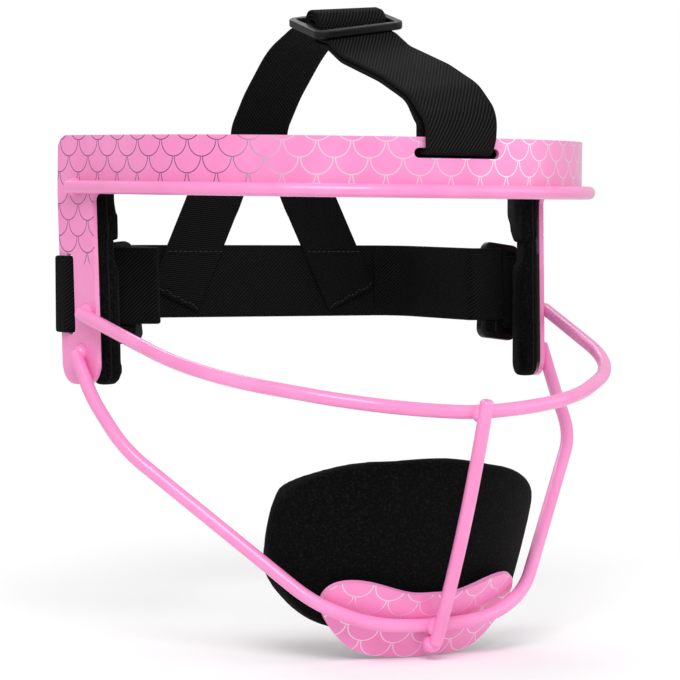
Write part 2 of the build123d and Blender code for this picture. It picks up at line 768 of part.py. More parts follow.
glide_roll = math.radians(crown_glide_roll)
glide_lift = crown_glide_width / 2 * math.sin(glide_roll)
crown_normal = Vector(0, -math.sin(crown_turn), math.cos(crown_turn))
crown_seat = Plane(
    origin=(0, *crown_line(crown_glide_middle, -strap_pass - glide_lift)),
    x_dir=Vector(math.cos(glide_roll), 0, 0) + crown_normal * math.sin(glide_roll),
    z_dir=crown_normal * math.cos(glide_roll) - Vector(math.sin(glide_roll), 0, 0),
)
crown_glide = tri_glide("crown_glide", crown_seat, crown_glide_width, crown_glide_length)
crown_roll = webbing_roll("crown_roll", crown_seat, strap_width)
side_spot = on_side_run(side_glide_middle, strap_pass)
tilt = math.radians(side_glide_tilt)
side_across = Vector(0, *lean_way[1:]).normalized() * math.cos(tilt) + side_run_way * math.sin(tilt)
side_normal = side_run_way.cross(Vector(lean_way)).normalized()
side_seat = Plane(
    origin=(*side_spot, back_strap_height - side_glide_drop),
    x_dir=side_across,
    z_dir=-side_normal,
)
side_glide = tri_glide("side_glide", side_seat, side_glide_width, side_glide_length)
side_roll = webbing_roll("side_roll", side_seat, strap_width)

pieces = [
    forehead_band.part, brow_wire.part, cheek_wire.part, jaw_wire.part, nose_bar.part,
    chin_plate.part, weld_beads.part, forehead_hook_strip.part, chin_hook_strip.part,
    forehead_pad.part, chin_pad.part, back_strap_middle, crown_strap_front, crown_strap_rear,
    crown_glide, crown_roll,
]
for name, shape in (
    ("temple_hook_strip", temple_hook_strip.part),
    ("temple_pad", temple_pad.part),
    ("back_strap_side", back_strap_side),
    ("anchor_loop", anchor_loop),
    ("v_leg", v_leg.part),
    ("side_glide", side_glide),
    ("side_roll", side_roll),
):
    other = mirror(shape, about=Plane.YZ)
    shape.label = name + "_left"
    other.label = name + "_right"
    pieces += [shape, other]
for piece in pieces:
    export_step(piece, "parts/" + piece.label + ".step")
print(len(pieces), "pieces")
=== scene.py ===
import json
import math
import bmesh
import bpy
from mathutils import Matrix, Quaternion, Vector
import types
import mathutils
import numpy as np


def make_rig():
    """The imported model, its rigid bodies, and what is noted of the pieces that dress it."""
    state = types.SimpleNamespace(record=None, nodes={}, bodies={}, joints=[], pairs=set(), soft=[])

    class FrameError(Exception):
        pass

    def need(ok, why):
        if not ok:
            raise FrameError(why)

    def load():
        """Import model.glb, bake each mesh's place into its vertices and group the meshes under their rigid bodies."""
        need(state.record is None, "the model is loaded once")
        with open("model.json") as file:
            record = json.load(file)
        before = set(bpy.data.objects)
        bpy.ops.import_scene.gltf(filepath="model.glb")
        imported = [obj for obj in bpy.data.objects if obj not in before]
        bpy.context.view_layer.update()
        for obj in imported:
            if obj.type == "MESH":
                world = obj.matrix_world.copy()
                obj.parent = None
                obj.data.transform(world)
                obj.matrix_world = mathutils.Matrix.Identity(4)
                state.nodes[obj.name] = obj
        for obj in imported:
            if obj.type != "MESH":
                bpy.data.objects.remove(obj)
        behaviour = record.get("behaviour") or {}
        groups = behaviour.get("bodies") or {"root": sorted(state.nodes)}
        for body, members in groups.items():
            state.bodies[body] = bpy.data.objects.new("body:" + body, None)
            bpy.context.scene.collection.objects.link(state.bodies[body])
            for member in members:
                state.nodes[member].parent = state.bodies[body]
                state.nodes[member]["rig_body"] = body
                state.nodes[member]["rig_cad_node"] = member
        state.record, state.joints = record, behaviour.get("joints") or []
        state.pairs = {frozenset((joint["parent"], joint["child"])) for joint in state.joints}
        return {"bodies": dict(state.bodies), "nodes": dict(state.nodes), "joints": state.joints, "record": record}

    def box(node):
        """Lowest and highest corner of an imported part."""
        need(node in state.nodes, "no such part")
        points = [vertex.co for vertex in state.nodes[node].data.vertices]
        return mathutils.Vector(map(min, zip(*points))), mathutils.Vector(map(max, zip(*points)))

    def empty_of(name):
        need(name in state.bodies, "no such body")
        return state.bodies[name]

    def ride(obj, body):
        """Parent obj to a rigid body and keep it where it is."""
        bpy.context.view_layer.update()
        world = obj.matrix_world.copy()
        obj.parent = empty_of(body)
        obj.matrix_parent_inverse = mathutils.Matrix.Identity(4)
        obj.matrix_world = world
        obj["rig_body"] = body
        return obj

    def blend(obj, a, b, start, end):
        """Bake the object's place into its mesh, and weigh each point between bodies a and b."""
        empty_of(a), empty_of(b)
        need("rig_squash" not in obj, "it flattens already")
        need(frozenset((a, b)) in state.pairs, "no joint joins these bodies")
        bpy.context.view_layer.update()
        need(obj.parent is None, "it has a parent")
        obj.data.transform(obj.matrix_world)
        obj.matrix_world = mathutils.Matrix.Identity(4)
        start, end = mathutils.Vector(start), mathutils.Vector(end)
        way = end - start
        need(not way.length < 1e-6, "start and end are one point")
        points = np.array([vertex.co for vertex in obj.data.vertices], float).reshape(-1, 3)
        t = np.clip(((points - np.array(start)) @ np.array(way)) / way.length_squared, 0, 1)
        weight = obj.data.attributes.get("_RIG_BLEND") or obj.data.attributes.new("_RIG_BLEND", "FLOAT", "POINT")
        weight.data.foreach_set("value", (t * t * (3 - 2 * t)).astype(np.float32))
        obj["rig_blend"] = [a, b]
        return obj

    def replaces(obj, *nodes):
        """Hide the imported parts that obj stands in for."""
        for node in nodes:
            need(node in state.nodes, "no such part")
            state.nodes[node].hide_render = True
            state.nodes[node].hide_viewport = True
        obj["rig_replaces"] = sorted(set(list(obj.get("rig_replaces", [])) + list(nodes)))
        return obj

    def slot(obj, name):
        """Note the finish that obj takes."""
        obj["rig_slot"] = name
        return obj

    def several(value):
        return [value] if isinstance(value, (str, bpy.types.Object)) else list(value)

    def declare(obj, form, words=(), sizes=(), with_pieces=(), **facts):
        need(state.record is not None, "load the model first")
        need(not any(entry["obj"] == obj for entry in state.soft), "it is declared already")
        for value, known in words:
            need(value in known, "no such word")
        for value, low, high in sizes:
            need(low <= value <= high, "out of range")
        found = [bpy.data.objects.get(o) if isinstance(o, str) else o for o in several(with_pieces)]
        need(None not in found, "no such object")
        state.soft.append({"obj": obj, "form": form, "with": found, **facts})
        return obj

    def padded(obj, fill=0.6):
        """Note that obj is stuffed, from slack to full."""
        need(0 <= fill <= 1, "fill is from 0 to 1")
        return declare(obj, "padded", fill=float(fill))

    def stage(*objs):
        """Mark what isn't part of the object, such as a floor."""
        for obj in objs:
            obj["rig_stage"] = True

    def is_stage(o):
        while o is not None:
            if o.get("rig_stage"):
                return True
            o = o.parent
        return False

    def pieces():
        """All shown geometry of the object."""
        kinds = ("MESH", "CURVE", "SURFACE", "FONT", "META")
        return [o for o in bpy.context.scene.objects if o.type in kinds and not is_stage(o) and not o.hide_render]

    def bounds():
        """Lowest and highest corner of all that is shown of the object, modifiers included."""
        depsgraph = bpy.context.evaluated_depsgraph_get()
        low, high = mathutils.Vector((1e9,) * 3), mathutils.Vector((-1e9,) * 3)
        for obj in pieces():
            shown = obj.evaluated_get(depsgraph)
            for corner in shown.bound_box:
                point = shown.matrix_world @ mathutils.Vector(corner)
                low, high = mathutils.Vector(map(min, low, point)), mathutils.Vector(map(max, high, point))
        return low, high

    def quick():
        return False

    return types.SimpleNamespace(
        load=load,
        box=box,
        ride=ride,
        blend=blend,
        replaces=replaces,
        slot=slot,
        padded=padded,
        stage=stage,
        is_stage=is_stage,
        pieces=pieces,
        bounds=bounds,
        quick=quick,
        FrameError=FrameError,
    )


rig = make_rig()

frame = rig.load()
cad_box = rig.bounds()
nodes = frame["nodes"]
scene = bpy.context.scene
MM = 0.001


# Studio: a pale floor under the guard and a pale, even sky. One broad lamp from the upper left
# shapes the paint, and a weaker one from the right opens the shadows of the black webbing.
view_heading = math.radians(28.4466)
view_dip = math.radians(2.8753)
view_tilt = math.radians(0.7123)
view_place = Vector((-0.48787, -0.91826, -0.00664))
view_lens = 160.514
view_film = 36
view_reach = 20
floor_drop = 0.4 * MM
floor_half = 1.5
floor_fade = (0.5, 0.22)
floor_colour = (0.97, 0.97, 0.975)
floor_roughness = 0.9
floor_gloss = 0.1
sky_strength = 0.64
lamps = (
    ("lamp_key", Vector((-0.5, -0.95, 0.85)), 0.7, 11.0),
    ("lamp_fill", Vector((0.95, -0.65, 0.35)), 0.8, 2.5),
    ("lamp_back", Vector((0.15, 0.9, 0.75)), 0.6, 3.0),
)

heading = Vector((
    math.sin(view_heading) * math.cos(view_dip),
    math.cos(view_heading) * math.cos(view_dip),
    -math.sin(view_dip),
))
level = Vector((math.cos(view_heading), -math.sin(view_heading), 0))
upright = level.cross(heading)
view_right = level * math.cos(view_tilt) + upright * math.sin(view_tilt)
view_up = upright * math.cos(view_tilt) - level * math.sin(view_tilt)
camera = bpy.data.objects.new("camera", bpy.data.cameras.new("camera"))
camera.matrix_world = Matrix.Translation(view_place) @ Matrix(
    (view_right, view_up, -heading)
).transposed().to_4x4()
camera.data.sensor_width = view_film
camera.data.lens = view_lens
camera.data.clip_end = view_reach
scene.collection.objects.link(camera)
scene.camera = camera
scene.view_settings.view_transform = "Standard"

for name, place, size, power in lamps:
    lamp = bpy.data.objects.new(name, bpy.data.lights.new(name, "AREA"))
    lamp.data.size = size
    lamp.data.energy = power
    aim = (-place).to_track_quat("-Z", "Y").to_matrix().to_4x4()
    lamp.matrix_world = Matrix.Translation(place) @ aim
    scene.collection.objects.link(lamp)


class Field:
    """A socket of a node tree, or a bare tree. Sums on it in Python add its Math nodes."""

    def __init__(self, tree, socket=None):
        self.tree = tree
        self.socket = socket

    def feed(self, socket, value):
        """A socket takes a link or a plain value."""
        if isinstance(value, Field):
            self.tree.links.new(value.socket, socket)
        else:
            socket.default_value = value

    def node(self, kind, settings=None, sockets=None, output=0):
        """A node of a type: its settings first, then the values or links of its sockets.
        output is the name or place of the socket that comes back."""
        made = self.tree.nodes.new(kind)
        for name, value in (settings or {}).items():
            setattr(made, name, value)
        for name, value in (sockets or {}).items():
            self.feed(made.inputs[name], value)
        return Field(self.tree, made.outputs[output]) if made.outputs else None

    def maths(self, operation, *values):
        """A Math node."""
        return self.node("ShaderNodeMath", {"operation": operation}, dict(enumerate(values)))

    def __add__(self, other):
        return self.maths("ADD", self, other)

    def __radd__(self, other):
        return self.maths("ADD", other, self)

    def __sub__(self, other):
        return self.maths("SUBTRACT", self, other)

    def __rsub__(self, other):
        return self.maths("SUBTRACT", other, self)

    def __mul__(self, other):
        return self.maths("MULTIPLY", self, other)

    def __rmul__(self, other):
        return self.maths("MULTIPLY", other, self)

    def __truediv__(self, other):
        return self.maths("DIVIDE", self, other)

    def __rtruediv__(self, other):
        return self.maths("DIVIDE", other, self)

    def __pow__(self, other):
        return self.maths("POWER", self, other)

    def __mod__(self, other):
        return self.maths("FLOORED_MODULO", self, other)

    def __gt__(self, other):
        return self.maths("GREATER_THAN", self, other)

    def __abs__(self):
        return self.maths("ABSOLUTE", self)

    def __floor__(self):
        return self.maths("FLOOR", self)

    def __round__(self):
        return self.maths("ROUND", self)


white = (1, 1, 1, 1)
world = bpy.data.worlds.new("pale_sky")
scene.world = world
world.use_nodes = True
sky = Field(world.node_tree)
lit_sky = sky.node("ShaderNodeBackground", {}, {"Color": white, "Strength": sky_strength})
seen_sky = sky.node("ShaderNodeBackground", {}, {"Color": white, "Strength": 1})
seen = sky.node("ShaderNodeLightPath", output="Is Camera Ray")
sky_mix = sky.node("ShaderNodeMixShader", {}, {0: seen, 1: lit_sky, 2: seen_sky})
sky.feed(world.node_tree.nodes["World Output"].inputs["Surface"], sky_mix)


def object_from(name, mesh):
    """A new object in the scene that holds a mesh."""
    made = bpy.data.objects.new(name, mesh)
    scene.collection.objects.link(made)
    return made


def finish_named(name, colour, roughness, **constants):
    """A new material, its node tree and its shader, with constants on the shader's sockets."""
    material = bpy.data.materials.new(name)
    material.use_nodes = True
    shader = material.node_tree.nodes["Principled BSDF"]
    shader.inputs["Base Color"].default_value = (*colour, 1)
    shader.inputs["Roughness"].default_value = roughness
    for socket, value in constants.items():
        shader.inputs[socket.replace("_", " ")].default_value = value
    return material, Field(material.node_tree), shader.inputs


def fade(value, start, end):
    """0 at start and beyond it, 1 at end, and smooth between them."""
    return value.node(
        "ShaderNodeMapRange", {"interpolation_type": "SMOOTHSTEP"},
        {"Value": value, "From Min": start, "From Max": end},
    )


floor_mesh = bpy.data.meshes.new("studio_floor")
floor_mesh.from_pydata(
    [
        (x * floor_half, y * floor_half, cad_box[0].z - floor_drop)
        for x, y in ((-1, -1), (1, -1), (1, 1), (-1, 1))
    ],
    [],
    [(0, 1, 2, 3)],
)
floor = object_from("studio_floor", floor_mesh)
floor_paper, paper = finish_named(
    "floor_paper", floor_colour, floor_roughness, Specular_IOR_Level=floor_gloss
)[:2]
spot = paper.node("ShaderNodeTexCoord", output="Object")
reach = paper.node(
    "ShaderNodeVectorMath", {"operation": "DISTANCE"}, {0: spot, 1: (0, 0, cad_box[0].z)}, output="Value"
)
paper_face = Field(paper.tree, paper.tree.nodes["Principled BSDF"].outputs[0])
open_air = paper.node("ShaderNodeBsdfTransparent")
paper_mix = paper.node(
    "ShaderNodeMixShader", {}, {0: fade(reach, *floor_fade), 1: open_air, 2: paper_face}
)
paper.feed(paper.tree.nodes["Material Output"].inputs["Surface"], paper_mix)
floor.data.materials.append(floor_paper)
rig.stage(floor)


# Painted steel: the band with its temple plates, the wires, the nose bar and the chin plate are
# cut from sheet and rod, welded, and powder coated in one glossy pink. A thin silver fish-scale
# print lies on the outer faces of the band, the plates and the chin plate. Towards the wearer's
# right the print is painted dark, a painted reflection.
band_depth = 95.0 * MM
band_height = 19.2 * MM
band_radius = 84.6 * MM
flare = math.radians(78.6)
print_depth = 0.35 * MM
scale_pitch = 10.91 * MM
scale_radius = 5.05 * MM
scale_row = 5.28 * MM
scale_line = 0.21 * MM
scale_line_core = 0.07 * MM
band_phase = 13.758
band_top_row = 7.8 * MM
print_foot = -33.5 * MM
print_fade = 2.0 * MM
chin_lean = math.radians(26.57)
chin_radius = 69.3 * MM
chin_front = Vector((0, -79.41, -146.7)) * MM
chin_phase = 0.5
chin_top_row = 14.0 * MM
paint_colour = (0.925, 0.3, 0.6)
paint_deep = (0.88, 0.255, 0.545)
silver = (0.86, 0.84, 0.9)
# The print's colour where it turns towards the wearer's right: a painted dark reflection.
foil_painted_reflection = (0.16, 0.05, 0.17)
reflection_turn = (-84.0 * MM, -48.0 * MM)
paint_roughness = 0.33
paint_coat = 0.35
coat_roughness = 0.12
tint_cloud = (60, 2)
tint_range = (0.3, 0.75)
gloss_cloud = (240, 3)
gloss_spread = 0.14
foil_metal = 0.75
peel_cloud = (1500, 1)
peel_height = 0.012 * MM


def blended(share, first, second):
    """A colour between two others, each a link or a plain colour."""
    first, second = [side if isinstance(side, Field) else (*side, 1) for side in (first, second)]
    return share.node(
        "ShaderNodeMix", {"data_type": "RGBA"}, {"Factor": share, 6: first, 7: second}, output=2
    )


def places(tree):
    """The x, y and z of the surface in the object's own coordinates."""
    where = tree.node("ShaderNodeTexCoord", output="Object")
    return [tree.node("ShaderNodeSeparateXYZ", {}, {0: where}, output=axis) for axis in "XYZ"]


def mottle(tree, size, detail):
    """Noise from 0 to 1 on the object's own coordinates."""
    where = tree.node("ShaderNodeTexCoord", output="Object")
    return tree.node("ShaderNodeTexNoise", {}, {"Vector": where, "Scale": size, "Detail": detail})


def raise_surface(tree, inputs, height, distance):
    """Bump on a shader, from a height as a share of the distance."""
    bump = tree.node("ShaderNodeBump", {}, {"Height": height, "Distance": distance})
    tree.feed(inputs["Normal"], bump)


def scale_print(along, height, phase, top_row):
    """Lines of the fish-scale print: rows of half circles, each row shifted by half a scale."""
    down = (top_row - height) / scale_row
    misses = []
    for above in (0, 1):
        row = math.floor(down) - above
        drop = (down - row) * scale_row
        turns = along / scale_pitch + phase + row % 2 * 0.5
        aside = (turns - round(turns)) * scale_pitch
        misses.append(abs((aside ** 2 + drop ** 2) ** 0.5 - scale_radius))
    nearest = misses[0].maths("MINIMUM", *misses)
    return fade(nearest, scale_line, scale_line_core)


def band_unrolled(tree):
    """How far along the band's outer face a point is, how far inside it, and its height."""
    x, y, z = places(tree)
    aside = abs(x)
    forward = band_radius - band_depth - y
    turn = aside.maths("ARCTAN2", aside, forward)
    radius = (aside ** 2 + forward ** 2) ** 0.5
    straight = turn > flare
    curved = 1 - straight
    flat_run = aside * math.cos(flare) - forward * math.sin(flare) + flare * band_radius
    flat_out = aside * math.sin(flare) + forward * math.cos(flare)
    length = turn * band_radius * curved + flat_run * straight
    distance = radius * curved + flat_out * straight
    return length * x.maths("SIGN", x), band_radius - distance, z


def chin_unrolled(tree):
    """How far round the chin plate a point is, how far inside its face, and how high up it."""
    x, y, z = places(tree)
    back = y - chin_front.y
    up = z - chin_front.z
    rise = up * math.cos(chin_lean) - back * math.sin(chin_lean)
    forward = chin_radius - (back * math.cos(chin_lean) + up * math.sin(chin_lean))
    length = x.maths("ARCTAN2", x, forward) * chin_radius
    return length, chin_radius - (x ** 2 + forward ** 2) ** 0.5, rise


def paint(name, unrolled=None, phase=0, top_row=0, foot=None):
    """Glossy pink coating over steel, with the fish-scale print on an unrolled outer face. The print's foil is painted
    dark towards the wearer's right, a painted reflection.
    """
    material, tree, inputs = finish_named(
        name, paint_colour, paint_roughness, Coat_Weight=paint_coat, Coat_Roughness=coat_roughness
    )
    colour = blended(fade(mottle(tree, *tint_cloud), *tint_range), paint_deep, paint_colour)
    gloss = (mottle(tree, *gloss_cloud) - 0.5) * gloss_spread + paint_roughness
    if unrolled:
        along, inside, height = unrolled(tree)
        lines = scale_print(along, height, phase, top_row)
        lines = lines * fade(inside, print_depth, print_depth / 2)
        if foot is not None:
            lines = lines * fade(height, foot, foot + print_fade)
        # Along the band the print goes from a painted dark reflection to silver.
        foil_and_reflection = blended(fade(along, *reflection_turn), foil_painted_reflection, silver)
        colour = blended(lines, colour, foil_and_reflection)
        tree.feed(inputs["Metallic"], lines * foil_metal)
    tree.feed(inputs["Base Color"], colour)
    tree.feed(inputs["Roughness"], gloss)
    raise_surface(tree, inputs, mottle(tree, *peel_cloud), peel_height)
    return material


def coat_node(name, material):
    """A CAD node keeps its shape and takes a material."""
    mesh = nodes[name].data
    mesh.materials.clear()
    mesh.materials.append(material)


plain_paint = paint("pink_paint")
band_paint = paint("pink_paint_band", band_unrolled, band_phase, band_top_row, print_foot)
chin_paint = paint("pink_paint_chin", chin_unrolled, chin_phase, chin_top_row)
coat_node("forehead_band", band_paint)
coat_node("chin_plate", chin_paint)
for name in ("brow_wire", "cheek_wire", "jaw_wire", "nose_bar", "weld_beads"):
    coat_node(name, plain_paint)


# Hook tape: thin woven strips of stiff little hooks, stuck to the inside of the steel where
# each pad is pressed on.
hook_colour = (0.012, 0.012, 0.013)
hook_roughness = 0.8
hook_spacing = 900
hook_height = 0.3 * MM

hook_tape, tree, inputs = finish_named("hook_tape", hook_colour, hook_roughness)
where = tree.node("ShaderNodeTexCoord", output="Object")
hooks = tree.node("ShaderNodeTexVoronoi", {}, {"Vector": where, "Scale": hook_spacing})
raise_surface(tree, inputs, hooks, hook_height)
for name in (
    "forehead_hook_strip", "chin_hook_strip", "temple_hook_strip_left", "temple_hook_strip_right"
):
    coat_node(name, hook_tape)


# Pads: soft foam laminated in brushed black fleece, one long cushion behind the band with a
# tongue down each temple, one on each plate and a cup for the chin. A pressed seam runs down the
# sides of the tongues and the temple pads near the steel, with a painted highlight along it, and
# hook tape holds each pad.
fleece_colour = (0.0025, 0.0025, 0.0028)
fleece_light = (0.0095, 0.009, 0.0095)
fleece_roughness = 0.95
fleece_sheen = 0.03
fleece_sheen_spread = 0.5
fleece_gloss = 0.03
fleece_cloud = (1400, 4)
fuzz_range = (0.45, 0.75)
fleece_height = 0.22 * MM
pad_voxel = 1.2 * MM
pad_easing = 0.5
pad_easing_rounds = 4
pad_cap = 0.9 * MM
pad_frames = 20
cover_cloth = {
    "quality": 4,
    "mass": 0.1,
    "tension_stiffness": 8,
    "compression_stiffness": 8,
    "bending_stiffness": 0.2,
    "use_pressure": True,
    "uniform_pressure_force": 4,
}
seam_from_plate = 4.6 * MM
seam_half_width = 0.35 * MM
# Colour of the seam line: a painted highlight.
seam_painted_highlight = (0.013, 0.0125, 0.013)
seam_top = -9.0 * MM
seam_fade = 1.8 * MM
tongue_foot = -24.55 * MM
tongue_reach = 3.0 * MM
tongue_stretch = 1.3 * MM
chin_pad_turn = math.radians(3.4)
chin_pad_move = Vector((-0.3, 0, 0.3)) * MM
pads = {
    "forehead_pad": "forehead_cushion",
    "temple_pad_left": "temple_cushion_left",
    "temple_pad_right": "temple_cushion_right",
    "chin_pad": "chin_cushion",
}


def brushed(name, with_seam_highlight):
    """Matt black fleece, with a pressed seam beside the plate on the pads that have one, painted lighter along it as a
    painted highlight.
    """
    material, tree, inputs = finish_named(
        name, fleece_colour, fleece_roughness, Sheen_Weight=fleece_sheen,
        Sheen_Roughness=fleece_sheen_spread, Specular_IOR_Level=fleece_gloss,
    )
    fuzz = mottle(tree, *fleece_cloud)
    colour = blended(fade(fuzz, *fuzz_range), fleece_colour, fleece_light)
    height = fuzz
    if with_seam_highlight:
        inside, upward = band_unrolled(tree)[1:]
        seam_and_highlight = fade(abs(inside - seam_from_plate), seam_half_width, 0)
        seam_and_highlight = seam_and_highlight * fade(upward, seam_top, seam_top - seam_fade)
        # The seam line is painted lighter as a painted highlight, and sunk as a groove.
        colour = blended(seam_and_highlight, colour, seam_painted_highlight)
        height = fuzz - seam_and_highlight
    tree.feed(inputs["Base Color"], colour)
    raise_surface(tree, inputs, height, fleece_height)
    return material


fleece = brushed("black_fleece", with_seam_highlight=False)
seam_highlight_fleece = brushed("black_fleece_seamed", with_seam_highlight=True)


def merged_copy(node):
    """A copy of a CAD node's mesh, its loose triangles merged."""
    shell = bmesh.new()
    shell.from_mesh(nodes[node].data)
    bmesh.ops.remove_doubles(shell, verts=shell.verts, dist=MM / 1000)
    mesh = bpy.data.meshes.new(node)
    shell.to_mesh(mesh)
    shell.free()
    return mesh


def baked(obj):
    """The object with its modifiers' result as its mesh."""
    mesh = bpy.data.meshes.new_from_object(
        obj.evaluated_get(bpy.context.evaluated_depsgraph_get())
    )
    obj.modifiers.clear()
    obj.data = mesh
    return obj


def foam_form(node):
    """A pad as a close, even mesh on its solid."""
    pad = object_from(node + "_cover", merged_copy(node))
    even = pad.modifiers.new("even", "REMESH")
    even.mode = "VOXEL"
    even.voxel_size = pad_voxel
    ease = pad.modifiers.new("ease", "SMOOTH")
    ease.factor = pad_easing
    ease.iterations = pad_easing_rounds
    return baked(pad)


def fill(covers):
    """Air pressure swells the covers as cloth, and each point's move is capped."""
    starts = {pad.name: [vertex.co.copy() for vertex in pad.data.vertices] for pad in covers}
    for pad in covers:
        cloth = pad.modifiers.new("fill", "CLOTH").settings
        for name, value in cover_cloth.items():
            setattr(cloth, name, value)
        cloth.effector_weights.gravity = 0
    for step in range(1, pad_frames + 1):
        scene.frame_set(step)
    for pad in covers:
        baked(pad)
        for vertex, start in zip(pad.data.vertices, starts[pad.name]):
            move = vertex.co - start
            if move.length > pad_cap:
                vertex.co = start + move.normalized() * pad_cap
    scene.frame_set(1)


pad_covers = [foam_form(node) for node in pads]
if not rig.quick():
    fill(pad_covers)
forehead_cover, *temple_covers, chin_cover = pad_covers
# A tongue's foot and the cushion below it are stretched until they meet.
for pad in (forehead_cover, *temple_covers):
    way = -1 if pad is forehead_cover else 1
    for vertex in pad.data.vertices:
        off = abs(vertex.co.z - tongue_foot)
        if off < tongue_reach:
            vertex.co.z += way * tongue_stretch * (1 - off / tongue_reach)
chin_points = [vertex.co for vertex in chin_cover.data.vertices]
chin_middle = sum(chin_points, Vector()) / len(chin_points)
chin_cover.data.transform(
    Matrix.Translation(chin_middle + chin_pad_move)
    @ Matrix.Rotation(chin_pad_turn, 4, "Y")
    @ Matrix.Translation(-chin_middle)
)
for pad, (node, body) in zip(pad_covers, pads.items()):
    finer = pad.modifiers.new("finer", "SUBSURF")
    finer.levels = 1
    finer.render_levels = 1
    baked(pad)
    pad.data.shade_smooth()
    pad.data.materials.clear()
    pad.data.materials.append(fleece if pad is chin_cover else seam_highlight_fleece)
    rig.slot(pad, "fleece")
    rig.padded(pad, fill=0.8)
    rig.replaces(pad, node)
    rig.ride(pad, body)


# Webbing: flat elastic woven in a steep twill, whose ribs cross it at a slant, with a smooth
# woven edge on each side. Every strap of the harness is cut from it. Its colour is painted lighter
# on the raised ribs and darker in the grooves, as painted highlight and painted shade.
strap_width = 25.4 * MM
strap_thickness = 1.5 * MM
edge_steps = 4
face_steps = 8
arc_steps = 10
point_spacing = 1.2 * MM
back_slant = math.radians(-44)
back_twill = 0.95 * MM
leg_slant = math.radians(-70)
leg_twill = 0.7 * MM
crown_slant = math.radians(-31)
crown_twill = 1.05 * MM
twill_height = 0.34 * MM
yarn_pitch = 0.62 * MM
selvedge_width = 0.9 * MM
selvedge_blend = 0.27 * MM
selvedge_height = 0.55
rib_wander = 0.25
wander_cloud = (350, 2)
fibre_cloud = (2600, 2)
fibre_dark = 0.5
fibre_spread = 0.7
lit_range = (0.35, 1.0)
yarn_grain = 0.35
crown_grain = 0.6
webbing_roughness = 0.8
webbing_gloss = 0.08
webbing_dark = (0.0015, 0.0015, 0.0017)
# Colours of the raised yarn: painted highlights on the ribs.
webbing_rib_highlight = (0.013, 0.0125, 0.013)
crown_rib_highlight = (0.03, 0.027, 0.028)


def evenly(points, spacing):
    """The same line as points that are all about the same distance apart."""
    lengths = [0]
    for first, second in zip(points, points[1:]):
        lengths.append(lengths[-1] + (second - first).length)
    count = max(2, round(lengths[-1] / spacing))
    spread = []
    place = 0
    for step in range(count + 1):
        target = lengths[-1] * step / count
        while place < len(lengths) - 2 and lengths[place + 1] < target:
            place += 1
        run = lengths[place + 1] - lengths[place]
        share = (target - lengths[place]) / run if run else 0
        spread.append(points[place].lerp(points[place + 1], min(1, share)))
    return spread


def rounded_line(corners, radii):
    """Straight runs between corners, with an arc at each corner."""
    corners = [Vector(corner) for corner in corners]
    points = [corners[0]]
    for before, corner, after, radius in zip(corners, corners[1:], corners[2:], radii):
        back = (before - corner).normalized()
        ahead = (after - corner).normalized()
        half = back.angle(ahead) / 2
        centre = corner + (back + ahead).normalized() * (radius / math.sin(half))
        start = corner + back * (radius / math.tan(half)) - centre
        end = corner + ahead * (radius / math.tan(half)) - centre
        turn = start.rotation_difference(end)
        for step in range(arc_steps + 1):
            points.append(centre + Quaternion().slerp(turn, step / arc_steps) @ start)
    points.append(corners[-1])
    return evenly(points, point_spacing)


def tape_section(width, thickness):
    """Places round a strap's section, from its middle: flat faces and rounded edges."""
    flat = width / 2 - thickness / 2
    section = [
        (flat * (2 * step / face_steps - 1), thickness / 2) for step in range(face_steps + 1)
    ]
    for step in range(1, edge_steps):
        turn = math.pi * step / edge_steps
        section.append((flat + math.sin(turn) * thickness / 2, math.cos(turn) * thickness / 2))
    return section + [(-across, -out) for across, out in section]


def webbing(name, line, across, width=strap_width, thickness=strap_thickness, shift=None, start=0):
    """A woven strap along a line. across is the way that its width lies, width how wide it is
    and shift how far it moves aside: each a value, or a function of the share of the length and
    the point there. start is the length at which the weave begins."""
    mesh = bpy.data.meshes.new(name)
    shell = bmesh.new()
    lay = shell.loops.layers.uv.new("UVMap")
    rings = []
    marks = []
    travelled = start
    for place, point in enumerate(line):
        share = place / (len(line) - 1)
        before = line[max(0, place - 1)]
        after = line[min(len(line) - 1, place + 1)]
        if place:
            travelled += (point - before).length
        way = across(share, point) if callable(across) else across
        tangent = (after - before).normalized()
        way = (way - tangent * way.dot(tangent)).normalized()
        normal = tangent.cross(way)
        wide = width(share, point) if callable(width) else width
        aside = shift(share, point) if shift else 0
        section = tape_section(wide, thickness)
        rings.append([
            shell.verts.new(point + way * (side + aside) + normal * out) for side, out in section
        ])
        marks.append([(travelled, side) for side, out in section])
    count = len(rings[0])
    for place in range(len(rings) - 1):
        for side in range(count):
            other = (side + 1) % count
            corners = ((place, side), (place, other), (place + 1, other), (place + 1, side))
            face = shell.faces.new([rings[ring][spot] for ring, spot in corners])
            for loop, (ring, spot) in zip(face.loops, corners):
                loop[lay].uv = marks[ring][spot]
    for ring, mark in ((rings[0], marks[0]), (rings[-1], marks[-1])):
        face = shell.faces.new(ring)
        for loop, spot in zip(face.loops, mark):
            loop[lay].uv = spot
    bmesh.ops.recalc_face_normals(shell, faces=shell.faces)
    for face in shell.faces:
        face.smooth = len(face.verts) == 4
    shell.to_mesh(mesh)
    shell.free()
    return object_from(name, mesh)


